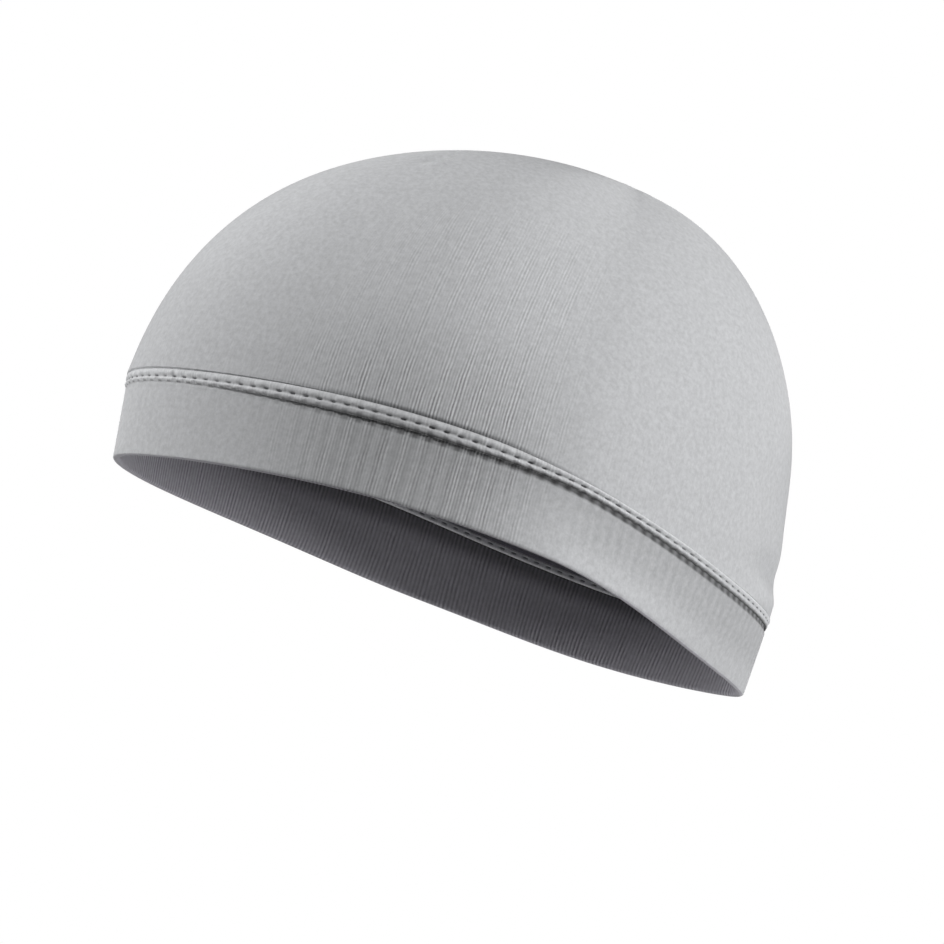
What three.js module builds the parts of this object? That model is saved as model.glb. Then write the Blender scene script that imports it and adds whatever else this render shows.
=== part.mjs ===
// Close-fitting skull cap of thin stretch jersey: a dome, a double band round the opening, and the
// raised twin-stitched seam that joins them. Millimetres, +Z up, forehead towards -Y, wearer's left
// towards +X. The origin is the middle of the rim opening, and the cap has its worn shape.

import * as THREE from 'three';

// Size at the stitch row of the joining seam, and heights above the middle of the rim opening
const LENGTH = 199;
const WIDTH = 152;
const FOREHEAD_TO_WIDEST = 108.3;
const WIDEST_Y = 7.6;
const TOP_Z = 126.5;
const TOP_BEHIND_WIDEST = 17;
const TOP_SHIFT_EXPONENT = 1.5;
const BAND_HEIGHT = 22;
// How far the band draws in half way down, on the sides
const BAND_DRAW_IN = 0.6;

// Outline from above: an exponent of 2 is an ellipse, and a smaller one draws the end to a point.
// The limp opening is most pointed at its rim, and the dome is almost an ellipse.
const RIM_ROUNDNESS = { front: 1.78, back: 1.39 };
const SEAM_ROUNDNESS = { front: 1.84, back: 1.52 };
const DOME_ROUNDNESS = 1.92;
const DOME_ROUND_FROM = 0.9;
// How far the points are rounded off
const RIM_TIP_SOFTNESS = 0.05;
const TIP_SOFTNESS = 0.15;
const SIDE_SOFTNESS = 0.15;

// How the wall changes round the head: heights of the rim and of the stitch row, how far the rim
// stands out from the seam and the exponent of the curve that leads there, and the exponent of the
// dome's profile
const AROUND = {
  front: { rim: 5.2, seam: 27.1, flare: -2.4, bend: 1, fullness: 2.54 },
  side: { rim: 3.9, seam: 26.7, flare: 3, bend: 1.5, fullness: 1.6 },
  back: { rim: -5.2, seam: 16.3, flare: -0.6, bend: 1, fullness: 1.85 },
};
// Rise of both edges over the temples, and their drop behind the ears
const TEMPLE_RISE = 2;

// Cloth
const CROWN_CLOTH = 1;
const BAND_CLOTH = 2;
const PIECE_GAP = 0.3;

// The seam's section. Every height is above the stitch row, and every depth is out from the wall.
const UPPER_RIDGE = { out: 1, edgeOut: 0.6, top: 2.1, shoulder: 1.6, foot: 0.8 };
const CHANNEL = { out: 0.4, halfHeight: 0.2 };
const LOWER_RIDGE = { out: 0.75, edgeOut: 0.4, top: -0.55, shoulder: -1.2, bottom: -1.6 };
const COVER_INSIDE = -0.2;
const WEB_HALF_HEIGHT = 0.5;
const INNER_COVER = { thickness: 0.9, top: 1.7, bottom: -1.3 };

// Tucked edges of the crown and the band, held in the seam's upper and lower slots
const TUCK_OUT = COVER_INSIDE - PIECE_GAP;
const CROWN_TUCK_END = WEB_HALF_HEIGHT + PIECE_GAP;
const CROWN_TUCK_START = 2.5;
const CROWN_GROOVE_END = 4.6;
const BAND_TUCK_END = -WEB_HALF_HEIGHT - PIECE_GAP;
const BAND_TUCK_START = -2.1;
const BAND_EDGE = { out: -0.15, height: -2.75 };
const BAND_SHOULDER = -3.4;
const BAND_TUCK_CLOTH = 1.5;

// Folds in the dome: middle, direction, half length, half width, and depth into the cloth
const FOLDS = [
  { what: 'pinch at the nape', at: [20, 91, 26.5], along: [-1, 0.6, 0.1], long: 20, wide: 5, deep: 1.8 },
  { what: 'crease at the top', at: [23.5, -38, 111], along: [-2.3, 4.3, 3.1], long: 9, wide: 4, deep: 1 },
];

// Faceting
const STEPS_AROUND = 72;
const DOME_ROWS = 15;
const SMALL_ANGLE = 0.002;
const SMALL_RISE = 0.002;

const JERSEY_GREY = 0xb9babc;
const BAND_GREY = 0xb3b4b6;
const THREAD_GREY = 0xadaeb0;

const UP = new THREE.Vector3(0, 0, 1);

// A column of the table at an angle from the forehead, eased from front to side to back
function around(column, angle) {
  const end = Math.cos(angle) > 0 ? AROUND.front : AROUND.back;
  const endShare = Math.cos(angle) ** 2;
  return end[column] * endShare + AROUND.side[column] * (1 - endShare);
}

function templeRise(angle) {
  const greatest = 2 / (3 * Math.sqrt(3));
  return (TEMPLE_RISE * Math.cos(angle) * Math.sin(angle) ** 2) / greatest;
}

const rimZ = (angle) => around('rim', angle) + templeRise(angle);
const seamZ = (angle) => around('seam', angle) + templeRise(angle);

// |x| to a power, with its sharp bottom at zero rounded off, still 0 at 0 and 1 at 1
function softPower(x, power, softness) {
  const base = softness ** power;
  const raised = (value) => (value * value + softness ** 2) ** (power / 2) - base;
  return raised(x) / raised(1);
}

// Distance of the outline from the middle of the widest place. The rise is a share of the way up
// the dome, or of the way down the band where it is negative.
function reach(angle, rise) {
  const end = Math.cos(angle) > 0 ? 'front' : 'back';
  const length = end === 'front' ? FOREHEAD_TO_WIDEST : LENGTH - FOREHEAD_TO_WIDEST;
  const down = Math.max(0, -rise);
  const eased = THREE.MathUtils.smoothstep(rise, 0, DOME_ROUND_FROM);
  const below = THREE.MathUtils.lerp(SEAM_ROUNDNESS[end], RIM_ROUNDNESS[end], down);
  const power = THREE.MathUtils.lerp(below, DOME_ROUNDNESS, eased);
  const tipSoftness = THREE.MathUtils.lerp(TIP_SOFTNESS, RIM_TIP_SOFTNESS, down);
  const lengthTerm = softPower(Math.cos(angle), power, SIDE_SOFTNESS) / length ** power;
  const widthTerm = softPower(Math.sin(angle), power, tipSoftness) / (WIDTH / 2) ** power;
  return (lengthTerm + widthTerm) ** (-1 / power);
}

function planPoint(angle, rise = 0, scale = 1) {
  const radius = reach(angle, rise) * scale;
  return new THREE.Vector3(radius * Math.sin(angle), WIDEST_Y - radius * Math.cos(angle), 0);
}

// Level direction straight out of the wall
function outward(angle, rise) {
  const along = planPoint(angle + SMALL_ANGLE, rise).sub(planPoint(angle - SMALL_ANGLE, rise));
  return along.cross(UP).normalize();
}

// A point of the band or the seam, by its depth out from the wall and height above the stitch row
function wallPoint(angle, out, height) {
  const down = Math.max(0, -height / BAND_HEIGHT);
  const drawnIn = BAND_DRAW_IN * Math.sin(Math.PI * down) * Math.sin(angle) ** 4;
  const flare = around('flare', angle) * down ** around('bend', angle) - drawnIn;
  const point = planPoint(angle, -down);
  point.addScaledVector(outward(angle, -down), out + flare);
  point.z = height > 0 ? seamZ(angle) + height : THREE.MathUtils.lerp(seamZ(angle), rimZ(angle), down);
  return point;
}

// A point of the smooth dome, by how far up it is from the stitch row (0) to the top (1)
function smoothDome(angle, rise) {
  const fullness = around('fullness', angle);
  const point = planPoint(angle, rise, Math.max(0, 1 - rise ** fullness) ** (1 / fullness));
  point.y += TOP_BEHIND_WIDEST * rise ** TOP_SHIFT_EXPONENT;
  point.z = THREE.MathUtils.lerp(seamZ(angle), TOP_Z, rise);
  return point;
}

function domeNormal(angle, rise) {
  if (rise === 1) return UP.clone();
  const step = Math.min(SMALL_RISE, (1 - rise) / 2, rise / 2);
  const upward = smoothDome(angle, rise + step).sub(smoothDome(angle, rise - step));
  const sideways = smoothDome(angle + SMALL_ANGLE, rise).sub(smoothDome(angle - SMALL_ANGLE, rise));
  return sideways.cross(upward).normalize();
}

// How deep the folds press a point of the dome in
function foldDepth(point) {
  let depth = 0;
  for (const fold of FOLDS) {
    const offset = point.clone().sub(new THREE.Vector3(...fold.at));
    const lengthwise = offset.dot(new THREE.Vector3(...fold.along).normalize());
    const across = Math.sqrt(Math.max(0, offset.lengthSq() - lengthwise ** 2));
    depth += fold.deep * Math.exp(-((lengthwise / fold.long) ** 2) - (across / fold.wide) ** 2);
  }
  return depth;
}

// The crown's cloth, thickness measured in from its outer face
function crownPoint(angle, rise, inside) {
  const point = smoothDome(angle, rise);
  const height = rise * (TOP_Z - seamZ(angle));
  const groove = THREE.MathUtils.smoothstep(height, CROWN_TUCK_START, CROWN_GROOVE_END);
  const depth = foldDepth(point) * groove - TUCK_OUT * (1 - groove) + inside;
  return point.addScaledVector(domeNormal(angle, rise), -depth);
}

// Heights of the crown's rows as shares of the way up, from the tucked edge to just under the top
function crownRows(angle) {
  const fullHeight = TOP_Z - seamZ(angle);
  const grooveMiddle = (CROWN_TUCK_START + CROWN_GROOVE_END) / 2;
  const hemHeights = [CROWN_TUCK_END, CROWN_TUCK_START, grooveMiddle, CROWN_GROOVE_END];
  const rows = hemHeights.map((height) => height / fullHeight);
  const fullness = around('fullness', angle);
  const startTurn = Math.asin(rows.at(-1) ** (fullness / 2));
  for (let row = 1; row < DOME_ROWS; row += 1) {
    const turn = THREE.MathUtils.lerp(startTurn, Math.PI / 2, row / DOME_ROWS);
    rows.push(Math.sin(turn) ** (2 / fullness));
  }
  return rows;
}

// Outer face from the top down, round the tucked edge, and up the inner face to the top
function crownSection(angle) {
  const rows = crownRows(angle);
  const outer = [...rows].reverse().map((rise) => crownPoint(angle, rise, 0));
  const inner = rows.map((rise) => crownPoint(angle, rise, CROWN_CLOTH));
  return [crownPoint(0, 1, 0), ...outer, ...inner, crownPoint(0, 1, CROWN_CLOTH)];
}

// Two ridges with a stitch channel outside, a slot for each cloth edge, and a flat cover inside
function seamSection(angle) {
  const crownSlotInside = TUCK_OUT - CROWN_CLOTH - PIECE_GAP;
  const bandSlotInside = TUCK_OUT - BAND_TUCK_CLOTH - PIECE_GAP;
  const section = [
    [COVER_INSIDE, UPPER_RIDGE.top],
    [UPPER_RIDGE.edgeOut, UPPER_RIDGE.top],
    [UPPER_RIDGE.out, UPPER_RIDGE.shoulder],
    [UPPER_RIDGE.out, UPPER_RIDGE.foot],
    [CHANNEL.out, CHANNEL.halfHeight],
    [CHANNEL.out, -CHANNEL.halfHeight],
    [LOWER_RIDGE.out, LOWER_RIDGE.top],
    [LOWER_RIDGE.out, LOWER_RIDGE.shoulder],
    [LOWER_RIDGE.edgeOut, LOWER_RIDGE.bottom],
    [COVER_INSIDE, LOWER_RIDGE.bottom],
    [COVER_INSIDE, -WEB_HALF_HEIGHT],
    [bandSlotInside, -WEB_HALF_HEIGHT],
    [bandSlotInside, LOWER_RIDGE.bottom],
    [bandSlotInside - INNER_COVER.thickness, INNER_COVER.bottom],
    [crownSlotInside - INNER_COVER.thickness, INNER_COVER.top],
    [crownSlotInside, UPPER_RIDGE.top],
    [crownSlotInside, WEB_HALF_HEIGHT],
    [COVER_INSIDE, WEB_HALF_HEIGHT],
  ];
  return section.map(([out, height]) => wallPoint(angle, out, height));
}

// Tucked edge, shoulder, outer face down to the rounded fold at the rim, and back up the inner face
function bandSection(angle) {
  const radius = BAND_CLOTH / 2;
  const roundCorner = radius * (1 - Math.SQRT1_2);
  const middle = (BAND_SHOULDER - BAND_HEIGHT) / 2;
  const flaring = (middle - BAND_HEIGHT) / 2;
  const section = [
    [TUCK_OUT, BAND_TUCK_END],
    [TUCK_OUT, BAND_TUCK_START],
    [BAND_EDGE.out, BAND_EDGE.height],
    [0, BAND_SHOULDER],
    [0, middle],
    [0, flaring],
    [0, radius - BAND_HEIGHT],
    [-roundCorner, roundCorner - BAND_HEIGHT],
    [-radius, -BAND_HEIGHT],
    [roundCorner - BAND_CLOTH, roundCorner - BAND_HEIGHT],
    [-BAND_CLOTH, radius - BAND_HEIGHT],
    [-BAND_CLOTH, flaring],
    [-BAND_CLOTH, middle],
    [-BAND_CLOTH, BAND_SHOULDER],
    [TUCK_OUT - BAND_TUCK_CLOTH, BAND_TUCK_START],
    [TUCK_OUT - BAND_TUCK_CLOTH, BAND_TUCK_END],
  ];
  return section.map(([out, height]) => wallPoint(angle, out, height));
}

// A closed body from one section at each angle round the head. A section either closes on itself,
// or starts and ends at a point that all sections share.
function bodyAround(sectionAt, endsShared) {
  const sections = [];
  for (let step = 0; step < STEPS_AROUND; step += 1) {
    sections.push(sectionAt((step / STEPS_AROUND) * 2 * Math.PI));
  }
  const count = sections[0].length;
  const positions = sections.flatMap((section) => section.flatMap((point) => point.toArray()));
  const index = (step, place) => {
    const shared = endsShared && (place === 0 || place === count - 1);
    return (shared ? 0 : (step % STEPS_AROUND) * count) + (place % count);
  };
  const triangles = [];
  const addTriangle = (a, b, c) => {
    if (a !== b && b !== c && c !== a) triangles.push(a, b, c);
  };
  const places = endsShared ? count - 1 : count;
  for (let step = 0; step < STEPS_AROUND; step += 1) {
    for (let place = 0; place < places; place += 1) {
      addTriangle(index(step, place), index(step, place + 1), index(step + 1, place));
      addTriangle(index(step, place + 1), index(step + 1, place + 1), index(step + 1, place));
    }
  }
  const geometry = new THREE.BufferGeometry();
  geometry.setAttribute('position', new THREE.Float32BufferAttribute(positions, 3));
  geometry.setIndex(triangles);
  geometry.computeVertexNormals();
  return geometry;
}

function piece(name, geometry, colour) {
  const material = new THREE.MeshStandardMaterial({ color: colour, roughness: 0.92, metalness: 0 });
  const mesh = new THREE.Mesh(geometry, material);
  mesh.name = name;
  return mesh;
}

const skullCap = new THREE.Group();
skullCap.add(piece('crown', bodyAround(crownSection, true), JERSEY_GREY));
skullCap.add(piece('joining_seam', bodyAround(seamSection, false), THREAD_GREY));
skullCap.add(piece('band', bodyAround(bandSection, false), BAND_GREY));

export default skullCap;
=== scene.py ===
"""Light grey cycling skull cap of thin stretch jersey, in its worn shape.

A knitted crown, a folded band round the opening, and the raised seam with its twin rows of stitches.
Metres, +Z up, forehead towards -Y, wearer's left towards +X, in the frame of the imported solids.
"""

import math

import bpy
import numpy as np
from bpy.props import FloatProperty, FloatVectorProperty, IntProperty, PointerProperty
from mathutils import Matrix, Vector


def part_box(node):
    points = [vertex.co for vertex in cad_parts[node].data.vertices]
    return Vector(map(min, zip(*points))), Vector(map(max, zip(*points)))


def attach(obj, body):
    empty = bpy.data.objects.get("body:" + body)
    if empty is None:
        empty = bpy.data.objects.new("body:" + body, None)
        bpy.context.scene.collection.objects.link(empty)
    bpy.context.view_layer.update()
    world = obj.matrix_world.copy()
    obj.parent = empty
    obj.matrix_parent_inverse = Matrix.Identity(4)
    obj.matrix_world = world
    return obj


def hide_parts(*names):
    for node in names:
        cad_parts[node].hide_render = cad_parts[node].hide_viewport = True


bl_info = {
    "name": "Cycling Skull Cap",
    "version": (1, 0, 0),
    "blender": (4, 5, 0),
    "location": "3D View > Sidebar > Skull Cap",
    "description": "Makes a jersey skull cap and the studio that it is shown in",
    "category": "Object",
}

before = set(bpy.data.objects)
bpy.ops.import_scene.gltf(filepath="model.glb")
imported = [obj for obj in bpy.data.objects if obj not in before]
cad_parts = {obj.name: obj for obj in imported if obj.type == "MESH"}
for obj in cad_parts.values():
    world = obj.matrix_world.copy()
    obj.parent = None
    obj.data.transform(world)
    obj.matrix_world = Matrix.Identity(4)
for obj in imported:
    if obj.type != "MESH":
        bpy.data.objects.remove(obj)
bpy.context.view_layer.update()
MM = 0.001

# How the wall changes round the head: heights of the rim and of the stitch row, how far the rim
# stands out from the seam and the exponent of the curve that leads there, the exponent of the
# dome's profile, and how much of the dome round its tip is flattened
WALL = {
    "front": dict(rim=5.2 * MM, seam=27.1 * MM, flare=-2.4 * MM, bend=1.0, fullness=2.54, tip=0.12),
    "side": dict(rim=3.9 * MM, seam=26.7 * MM, flare=3 * MM, bend=1.5, fullness=1.6, tip=0.05),
    "back": dict(rim=-5.2 * MM, seam=16.3 * MM, flare=-0.6 * MM, bend=1.0, fullness=1.85, tip=0.08),
}
TIP_DROP = 0.3 * MM
TEMPLE_RISE = 2 * MM
# The limp cap hangs a little askew: its seam is higher on the wearer's right
RIGHT_SEAM_RISE = 1.8 * MM
# Behind the ears the seam sags: by how much, and where it sags most and how far, in degrees
SEAM_SAG = 0.5 * MM
SEAM_SAG_PLACE = (108, 18)
# How far the band draws in half way down, on the sides, and how far seam and band do at the forehead
BAND_DRAW_IN = 0.6 * MM
FOREHEAD_DRAW_IN = 0.6 * MM

# Outline from above: where it is widest, how far behind that the top lies, the exponents of its
# ends at the rim and at the seam and of the rounder dome, and how softly it turns at its two ends
# and on its sides
FOREHEAD_TO_WIDEST = 108.3 * MM
WIDEST_Y = 7.6 * MM
TOP_BEHIND_WIDEST = 17 * MM
TOP_SHIFT_EXPONENT = 1.5
RIM_ROUNDNESS = {"front": 1.78, "back": 1.39}
SEAM_ROUNDNESS = {"front": 1.84, "back": 1.52}
DOME_ROUNDNESS = 1.92
DOME_ROUND_FROM = 0.9
RIM_TIP_SOFTNESS = 0.05
TIP_SOFTNESS = 0.15
SIDE_SOFTNESS = 0.15

# The crown's lower edge: it is tucked into the seam, and comes out of it between these heights. On
# the sides a groove is left above the seam. At the two ends the cloth swells over the seam instead.
TUCK_OUT = -0.5 * MM
CROWN_GROOVE = (2.35 * MM, 3.7 * MM)
CROWN_SWELL = (2.3 * MM, 2.45 * MM)
SWELL_OUT = 0.1 * MM
SWELL_HEIGHT = 6.5 * MM
# Heights of the rows of corners there, in millimetres
CROWN_HEM_ROWS = (0.8, 1.3, 1.8, 2.2, 2.3, 2.375, 2.45, 2.6, 2.8, 3, 3.25, 3.5, 3.8, 4.2, 4.7, 5.4, 6.4)
# The band's tucked edge is this thick, and a gap is left between tucked edges and the seam's web
TUCKED_BAND = 1.5 * MM
SLOT_GAP = 0.3 * MM

# The band's strip: from its tucked upper edge to its face, as depth out and height, where the
# face begins, the radius of the fold at the rim, and the heights at the inner upper edge
BAND_TOP = ((-0.5, -0.8), (-0.5, -1.5), (-0.5, -2.1), (-0.42, -2.45), (-0.2, -2.8), (-0.05, -3.1))
BAND_FACE_TOP = -3.4 * MM
RIM_FOLD = 1 * MM
BAND_INNER_TOP = (-2.1, -1.5, -0.8)
BAND_ROWS = 24
FOLD_ROWS = 13
# At the forehead the band comes out this far, up to the seam, without a groove
FOREHEAD_LIFT = 0.4 * MM

# Folds in the dome: middle, direction, half length, half width and depth, in millimetres
FOLDS = {
    "pinch at the nape": ((21, 91, 28.3), (-1, 0.6, 0.1), 20, 4.3, 1.8),
    "hollow above the pinch": ((18, 91.5, 46), (-1, 0.5, 0), 30, 17, 1.3),
    "swell below the pinch": ((17, 94, 21), (-1, 0.6, 0.1), 12, 2.8, -0.6),
    "slack above the forehead": ((20, -50, 108), (0, 1, 0.45), 32, 25, 0.9),
    "crease at the top": ((22.5, -38.3, 111.9), (-2.2, 4.7, 3.2), 5, 1.5, 1.5),
    "lift beside the crease": ((28.5, -38.7, 108.2), (-1, 3, -2.5), 5, 2.6, -0.9),
    "swell over the top": ((8, 24, 125.2), (1, 0, -0.15), 13, 5.5, -0.6),
}

# The seam's outer section: height, and how far out it stands between two stitches and at one, in mm
WELT_OUTSIDE = (
    (2.3, -0.2, -0.2),
    (2.25, 0.25, 0.25),
    (2.05, 0.66, 0.66),
    (1.7, 0.92, 0.84),
    (1.35, 1.0, 0.88),
    (1.0, 1.0, 0.82),
    (0.7, 0.88, 0.66),
    (0.45, 0.66, 0.4),
    (0.25, 0.46, 0.0),
    (0.08, 0.34, -0.22),
    (-0.1, 0.32, -0.2),
    (-0.28, 0.4, 0.15),
    (-0.45, 0.56, 0.62),
    (-0.65, 0.72, 0.9),
    (-0.9, 0.78, 0.86),
    (-1.1, 0.74, 0.62),
    (-1.3, 0.64, 0.25),
    (-1.5, 0.46, -0.05),
    (-1.65, 0.2, -0.15),
    (-1.7, -0.2, -0.2),
)
# Its inner cover: height, and depth between two stitches and at one, in mm
WELT_INSIDE = (
    (-1.1, -2.3, -2.3),
    (-1.05, -2.7, -2.7),
    (-0.85, -3.0, -3.0),
    (-0.55, -3.15, -3.12),
    (-0.2, -3.1, -2.85),
    (0.1, -3.0, -2.4),
    (0.35, -2.95, -2.4),
    (0.55, -2.9, -2.6),
    (0.75, -2.85, -2.8),
    (1.0, -2.85, -2.8),
    (1.3, -2.75, -2.75),
    (1.65, -2.5, -2.5),
    (1.9, -2.15, -2.15),
    (2.05, -1.8, -1.8),
)
WEB_HALF_HEIGHT = 0.5 * MM
# How far the ridges swell and shrink with the pucker of the stitches, and how deep the stitches
# pull the cloth in, from the loosest to the tightest
PUCKER = 0.16 * MM
PUCKERS_PER_STITCH = 3
PUCKER_SEED = 11
PULL = (0.6, 1.1)
PULL_SEED = 7
WELT_STEPS_PER_STITCH = 12
# The seam lies flatter towards the forehead and the nape
WELT_END_DROP = {"front": 0.45 * MM, "back": 0.6 * MM}
# The seam's height is not even: above the stitches it shrinks from the ears back, and below them it
# is small at the forehead and greatest on the sides
NARROW_ABOVE = 0.55
BELOW = {"front": 0.85, "side": 1.3, "back": 1.0}

# Rows of stitches: height above the stitch row, depth out, thread half width, and phase
STITCH_ROWS = {
    "row outside": (0.02 * MM, -0.1 * MM, 0.2 * MM, 0.0),
    "row inside": (0.2 * MM, -2.5 * MM, 0.2 * MM, 0.5),
}
# The part of a stitch's pitch where its thread lies on top, how deep the ends dive in half widths
# of the thread, and steps along the row per stitch
STITCH_SHARE = 0.38
STITCH_DIVE = 0.9
STITCH_STEPS = 16

# Painted shade: how much darker the cloth's colour is made at the bottom of a groove, where
# hardly any light comes in
PAINTED_SHADE_STRENGTH = 0.8
# Parts of that painted shade: just above the seam, up the sides of the crown, on the sides of the
# band's face where its wales show, behind the ears, and on the band's inner layer under the seam
CROWN_FOOT_SHADE = 0.6
CROWN_SIDE_SHADE = 0.12
BAND_SIDE_PAINTED_SHADE = 0.35
BEHIND_EAR_SHADE = 0.22
INNER_BAND_SHADE = 0.75

# The wales lean back as they rise: slope backwards at a height above the seam
WALE_LEAN = 0.38
WALE_LEAN_HEIGHT = 73 * MM
# How far the wales wander to and fro, and the size of the grain between them
WALE_WANDER = 0.5 * MM
GRAIN = 1.4 * MM

# Fineness of the meshes, and of the tables that measure along the outline
STEPS_AROUND = 288
CROWN_ROWS = 88
OUTLINE_SAMPLES = 7201
# Half the step over which a slope is measured, the length below which a direction has no
# meaning, and the distance at which corners are merged
SMALL_ANGLE = 0.002
SMALL_RISE = 0.002
NO_LENGTH = 1e-12
MERGE_DISTANCE = 1e-6

# Studio lights: direction from the cap as the camera sees it (degrees to the right from straight
# towards the camera, degrees up), side and power
LIGHT_CENTRE = (0, 0, 60 * MM)
LIGHT_DISTANCE = 1.7
LIGHTS = {
    "overhead softbox": (0, 55, 0.35, 18.1),
    "right softbox, low": (80, -20, 0.35, 23.2),
    "right softbox, high": (95, 60, 0.35, 7.4),
    "left softbox": (-90, 20, 0.35, 5.5),
    "left rim light": (-110, 10, 0.35, 14.5),
}
# Light that comes from the white surround itself
SURROUND_LIGHT = 0.02
# Side of the floor in metres, and the width of the camera's sensor in millimetres
FLOOR_SIZE = 60
SENSOR_WIDTH = 36


def linear(colour):
    """An sRGB hex colour as linear red, green and blue."""
    parts = [int(colour[i : i + 2], 16) / 255 for i in (0, 2, 4)]
    return [c / 12.92 if c <= 0.04045 else ((c + 0.055) / 1.055) ** 2.4 for c in parts]


# The shape of the cap


def around(column, angle):
    """A column of the table at an angle from the forehead, eased from front to side to back."""
    end = np.where(np.cos(angle) > 0, WALL["front"][column], WALL["back"][column])
    share = np.cos(angle) ** 2
    return end * share + WALL["side"][column] * (1 - share)


def temple_rise(angle):
    """How far rim and seam rise over the temples, and sink as far behind the ears."""
    greatest = 2 / (3 * math.sqrt(3))
    return TEMPLE_RISE * np.cos(angle) * np.sin(angle) ** 2 / greatest


def side_degrees(angle):
    """Degrees from the forehead, on either side."""
    return np.degrees(np.minimum(angle, 2 * np.pi - angle))


def rim_height(angle):
    """Height of the rim."""
    return around("rim", angle) + temple_rise(angle)


def seam_height(angle):
    """Height of the stitch row."""
    askew = RIGHT_SEAM_RISE * np.maximum(0, -np.sin(angle)) ** 2
    most, spread = SEAM_SAG_PLACE
    sag = SEAM_SAG * np.exp(-(((side_degrees(angle) - most) / spread) ** 2))
    return around("seam", angle) + temple_rise(angle) + askew - sag


def soft_power(x, power, softness):
    """|x| to a power, with its sharp bottom at zero rounded off, still 0 at 0 and 1 at 1."""
    base = softness**power

    def raised(value):
        return (value * value + softness**2) ** (power / 2) - base

    return raised(x) / raised(1.0)


def smooth(x, low, high):
    """0 below one value and 1 above the other, with an eased slope between."""
    t = np.clip((x - low) / (high - low), 0, 1)
    return t * t * (3 - 2 * t)


def outline(cap, angle, rise=0.0, scale=1.0):
    """The outline seen from above, at a share of the way up the dome, or down the band below 0."""
    front = np.cos(angle) > 0
    length = np.where(front, FOREHEAD_TO_WIDEST, cap.length - FOREHEAD_TO_WIDEST)
    at_seam = np.where(front, SEAM_ROUNDNESS["front"], SEAM_ROUNDNESS["back"])
    at_rim = np.where(front, RIM_ROUNDNESS["front"], RIM_ROUNDNESS["back"])
    down = np.clip(-np.asarray(rise, float), 0, 1)
    below = at_seam + (at_rim - at_seam) * down
    power = below + (DOME_ROUNDNESS - below) * smooth(rise, 0, DOME_ROUND_FROM)
    tip_softness = TIP_SOFTNESS + (RIM_TIP_SOFTNESS - TIP_SOFTNESS) * down
    lengthwise = soft_power(np.cos(angle), power, SIDE_SOFTNESS) / length**power
    sideways = soft_power(np.sin(angle), power, tip_softness) / (cap.width / 2) ** power
    radius = (lengthwise + sideways) ** (-1 / power) * scale
    return np.stack([radius * np.sin(angle), WIDEST_Y - radius * np.cos(angle)], -1)


def outward(cap, angle, rise=0.0):
    """Level direction straight out of the wall."""
    along = outline(cap, angle + SMALL_ANGLE, rise) - outline(cap, angle - SMALL_ANGLE, rise)
    out = np.stack([along[..., 1], -along[..., 0]], -1)
    return out / np.linalg.norm(out, axis=-1, keepdims=True)


def wall(cap, angle, out, height):
    """Points of the band or the seam, by distance out from the wall and height above the stitches."""
    down = np.maximum(0, -height / cap.band_height)
    # The high power confines the first drawing in to the sides
    drawn_in = BAND_DRAW_IN * np.sin(np.pi * np.minimum(down, 1)) * np.sin(angle) ** 4
    drawn_in = drawn_in + FOREHEAD_DRAW_IN * smooth(np.cos(angle), 0.6, 1)
    flare = around("flare", angle) * down ** around("bend", angle) - drawn_in
    level = outline(cap, angle, -down) + outward(cap, angle, -down) * (out + flare)[..., None]
    sloped = seam_height(angle) * (1 - down) + rim_height(angle) * down
    z = np.where(height > 0, seam_height(angle) + height, sloped)
    return np.concatenate([level, z[..., None]], -1)


def seam_share(angle, height):
    """The seam's height at an angle, above or below the stitch row, as a share of the usual."""
    side = side_degrees(angle)
    above = 1 - (1 - NARROW_ABOVE) * smooth(side, 74, 98)
    below = BELOW["front"] + (BELOW["side"] - BELOW["front"]) * smooth(side, 18, 48)
    below = below + (BELOW["back"] - BELOW["side"]) * smooth(side, 64, 90)
    return np.where(height > 0, above, below)


def dome(cap, angle, rise):
    """Points of the smooth dome, by how far up they are from the stitch row (0) to the top (1)."""
    fullness = around("fullness", angle)
    scale = np.maximum(0, 1 - rise**fullness) ** (1 / fullness)
    level = outline(cap, angle, rise, scale)
    y = level[..., 1] + TOP_BEHIND_WIDEST * rise**TOP_SHIFT_EXPONENT
    z = seam_height(angle) * (1 - rise) + cap.top_height * rise
    z = z - TIP_DROP * np.exp(-((scale / around("tip", angle)) ** 2))
    return np.stack([level[..., 0], y, z], -1)


def dome_normal(cap, angle, rise):
    """Direction straight out of the smooth dome."""
    step = np.minimum(SMALL_RISE, np.minimum((1 - rise) / 2, rise / 2))
    upward = dome(cap, angle, rise + step) - dome(cap, angle, rise - step)
    sideways = dome(cap, angle + SMALL_ANGLE, rise) - dome(cap, angle - SMALL_ANGLE, rise)
    normal = np.cross(sideways, upward)
    size = np.linalg.norm(normal, axis=-1, keepdims=True)
    return np.where(size > NO_LENGTH, normal / np.maximum(size, NO_LENGTH), (0.0, 0.0, 1.0))


def fold_depth(point):
    """How deep the folds press points of the dome in."""
    depth = np.zeros(point.shape[:-1])
    for middle, along, long, wide, deep in FOLDS.values():
        offset = point - np.array(middle) * MM
        lengthwise = offset @ (np.array(along) / np.linalg.norm(along))
        across = np.maximum(0, (offset**2).sum(-1) - lengthwise**2)
        depth += deep * MM * np.exp(-((lengthwise / (long * MM)) ** 2) - across / (wide * MM) ** 2)
    return depth


def ring(cap, steps):
    """Angles evenly spaced along the stitch row, with the first again at the end, and its length."""
    angle = np.linspace(0, 2 * np.pi, OUTLINE_SAMPLES)
    run = np.linalg.norm(np.diff(outline(cap, angle), axis=0), axis=1)
    length = np.concatenate([[0], np.cumsum(run)])
    return np.interp(np.linspace(0, length[-1], steps + 1), length, angle), length[-1]


# Meshes


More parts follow.
